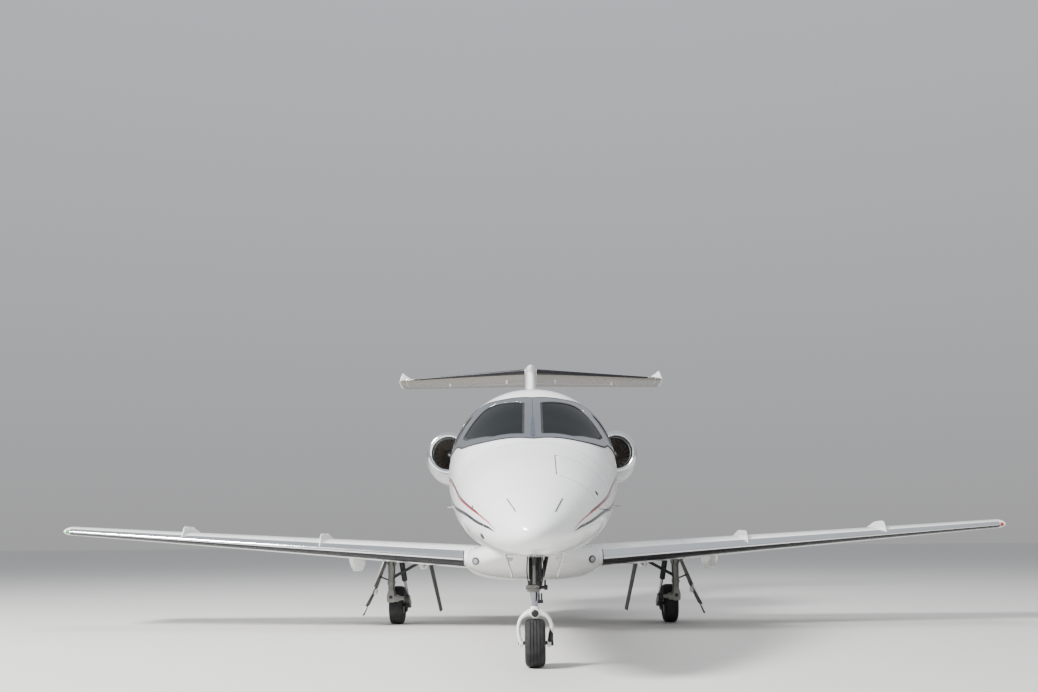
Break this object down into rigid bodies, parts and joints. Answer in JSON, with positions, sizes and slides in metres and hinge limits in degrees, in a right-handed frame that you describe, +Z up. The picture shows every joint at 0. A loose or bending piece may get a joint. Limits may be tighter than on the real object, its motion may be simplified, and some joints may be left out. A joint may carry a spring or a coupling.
{
  "type": "business jet",
  "caption": "Low-wing twin-engined business jet with a T-tail, rear engines, opening doors and tricycle landing gear.",
  "frame": {"origin": "on the ground below the middle of the length and of the span", "axes": "+Y aft along the fuselage (the nose points to -Y), +Z up, +X to the port (left) side"},
  "size_m": [12.3, 12.82, 4.35],
  "materials": {
    "white_paint": "gloss",
    "white_aluminium": "gloss",
    "white_composite": "gloss",
    "grey_gear": "satin",
    "gear_white": "satin",
    "engine_metal": "satin",
    "fan_metal": "satin",
    "tyre": "matte",
    "window_glass": "polished",
    "leather": "matte",
    "carpet": "matte",
    "panel_dark": "matte"
  },
  "bodies": {
    "airframe": {"radome": "white_composite", "fuselage_nose": "white_paint", "fuselage_forward": "white_paint", "fuselage_centre": "white_paint", "fuselage_rear": "white_paint", "tail_cone": "white_paint", "belly_fairing": "white_composite", "emergency_exit": "white_paint", "windshield_left": "window_glass", "windshield_right": "window_glass", "cockpit_side_window_left": "window_glass", "cockpit_side_window_right": "window_glass", "cabin_windows_left": "window_glass", "cabin_windows_right": "window_glass", "wing_left": "white_paint", "wing_right": "white_paint", "fin": "white_aluminium", "stabilizer": "white_aluminium", "ventral_fin": "white_aluminium", "nacelle_left": "white_aluminium", "nacelle_right": "white_aluminium", "engine_core_left": "engine_metal", "engine_core_right": "engine_metal", "pylon_left": "white_paint", "pylon_right": "white_paint", "nose_leg": "grey_gear", "nose_gear_door_left": "gear_white", "nose_gear_door_right": "gear_white", "main_leg_left": "grey_gear", "main_leg_right": "grey_gear", "main_trailing_arm_left": "grey_gear", "main_trailing_arm_right": "grey_gear", "main_gear_door_outer_left": "gear_white", "main_gear_door_outer_right": "gear_white", "main_gear_door_inner_left": "gear_white", "main_gear_door_inner_right": "gear_white", "cabin_floor": "carpet", "instrument_panel": "panel_dark", "pilot_seats": "leather", "cabin_seats": "leather"},
    "nose_gear_steered": {"nose_fork": "gear_white"},
    "nose_wheel": {"nose_hub": "grey_gear", "nose_tyre": "tyre"},
    "main_wheel_left": {"main_hub_left": "grey_gear", "main_tyre_left": "tyre"},
    "main_wheel_right": {"main_hub_right": "grey_gear", "main_tyre_right": "tyre"},
    "fan_left": {"fan_left": "fan_metal"},
    "fan_right": {"fan_right": "fan_metal"},
    "aileron_left": {"aileron_left": "white_paint"},
    "aileron_right": {"aileron_right": "white_paint"},
    "flap_left": {"flap_left": "white_paint"},
    "flap_right": {"flap_right": "white_paint"},
    "elevator_left": {"elevator_left": "white_aluminium"},
    "elevator_right": {"elevator_right": "white_aluminium"},
    "rudder": {"rudder": "white_aluminium"},
    "airstair_door": {"airstair_door": "white_paint"},
    "nose_baggage_door": {"nose_baggage_door": "white_paint"},
    "aft_baggage_door": {"aft_baggage_door": "white_paint"}
  },
  "joints": [
    {"name": "nose_wheel_steering", "type": "hinge", "parent": "airframe", "child": "nose_gear_steered", "pos_m": [0, -5.05, 0.326], "axis": [0, 0, 1], "range_deg": [-20, 20]},
    {"name": "nose_wheel_spin", "type": "hinge", "parent": "nose_gear_steered", "child": "nose_wheel", "pos_m": [0.05, -5.05, 0.203], "axis": [1, 0, 0], "continuous": true},
    {"name": "main_wheel_left_spin", "type": "hinge", "parent": "airframe", "child": "main_wheel_left", "pos_m": [1.884, 0.22, 0.25], "axis": [1, 0, 0], "continuous": true},
    {"name": "main_wheel_right_spin", "type": "hinge", "parent": "airframe", "child": "main_wheel_right", "pos_m": [-1.884, 0.22, 0.25], "axis": [1, 0, 0], "continuous": true},
    {"name": "fan_left_spin", "type": "hinge", "parent": "airframe", "child": "fan_left", "pos_m": [1.24, 1.65, 2.372], "axis": [0, 1, 0], "continuous": true},
    {"name": "fan_right_spin", "type": "hinge", "parent": "airframe", "child": "fan_right", "pos_m": [-1.24, 1.65, 2.372], "axis": [0, 1, 0], "continuous": true},
    {"name": "aileron_left_hinge", "type": "hinge", "parent": "airframe", "child": "aileron_left", "pos_m": [4.89, 0.25434, 1.162], "axis": [-0.9963, 0.0464, -0.072], "range_deg": [-20, 20]},
    {"name": "aileron_right_hinge", "type": "hinge", "parent": "airframe", "child": "aileron_right", "pos_m": [-4.89, 0.25434, 1.162], "axis": [-0.9963, -0.0464, 0.072], "range_deg": [-20, 20]},
    {"name": "flap_left_hinge", "type": "hinge", "parent": "airframe", "child": "flap_left", "pos_m": [2.365, 0.39686, 0.76299], "axis": [-0.9962, 0.0492, -0.0722], "range_deg": [0, 35]},
    {"name": "flap_right_hinge", "type": "hinge", "parent": "airframe", "child": "flap_right", "pos_m": [-2.365, 0.39686, 0.76299], "axis": [-0.9962, -0.0492, 0.0722], "range_deg": [0, 35]},
    {"name": "elevator_left_hinge", "type": "hinge", "parent": "airframe", "child": "elevator_left", "pos_m": [1.199, 5.94024, 4.10955], "axis": [-0.994, -0.1086, 0.0143], "range_deg": [-25, 15]},
    {"name": "elevator_right_hinge", "type": "hinge", "parent": "airframe", "child": "elevator_right", "pos_m": [-1.199, 5.94024, 4.10955], "axis": [-0.994, 0.1086, -0.0143], "range_deg": [-25, 15]},
    {"name": "rudder_hinge", "type": "hinge", "parent": "airframe", "child": "rudder", "pos_m": [0, 5.25117, 3.325], "axis": [0, 0.4265, 0.9045], "range_deg": [-25, 25]},
    {"name": "airstair_door_hinge", "type": "hinge", "parent": "airframe", "child": "airstair_door", "pos_m": [0.58887, -2.82, 1.1], "axis": [0, 1, 0], "range_deg": [0, 125]},
    {"name": "nose_baggage_door_hinge", "type": "hinge", "parent": "airframe", "child": "nose_baggage_door", "pos_m": [0.19, -5.295, 1.71971], "axis": [0, -0.9257, -0.3784], "range_deg": [0, 75]},
    {"name": "aft_baggage_door_hinge", "type": "hinge", "parent": "airframe", "child": "aft_baggage_door", "pos_m": [0.85493, 1.39, 1.79], "axis": [0.0822, -0.9966, 0], "range_deg": [0, 70]}
  ],
  "couplings": [
    {"joint": "aileron_right_hinge", "follows": "aileron_left_hinge", "ratio": -1},
    {"joint": "flap_right_hinge", "follows": "flap_left_hinge", "ratio": 1},
    {"joint": "elevator_right_hinge", "follows": "elevator_left_hinge", "ratio": 1}
  ]
}
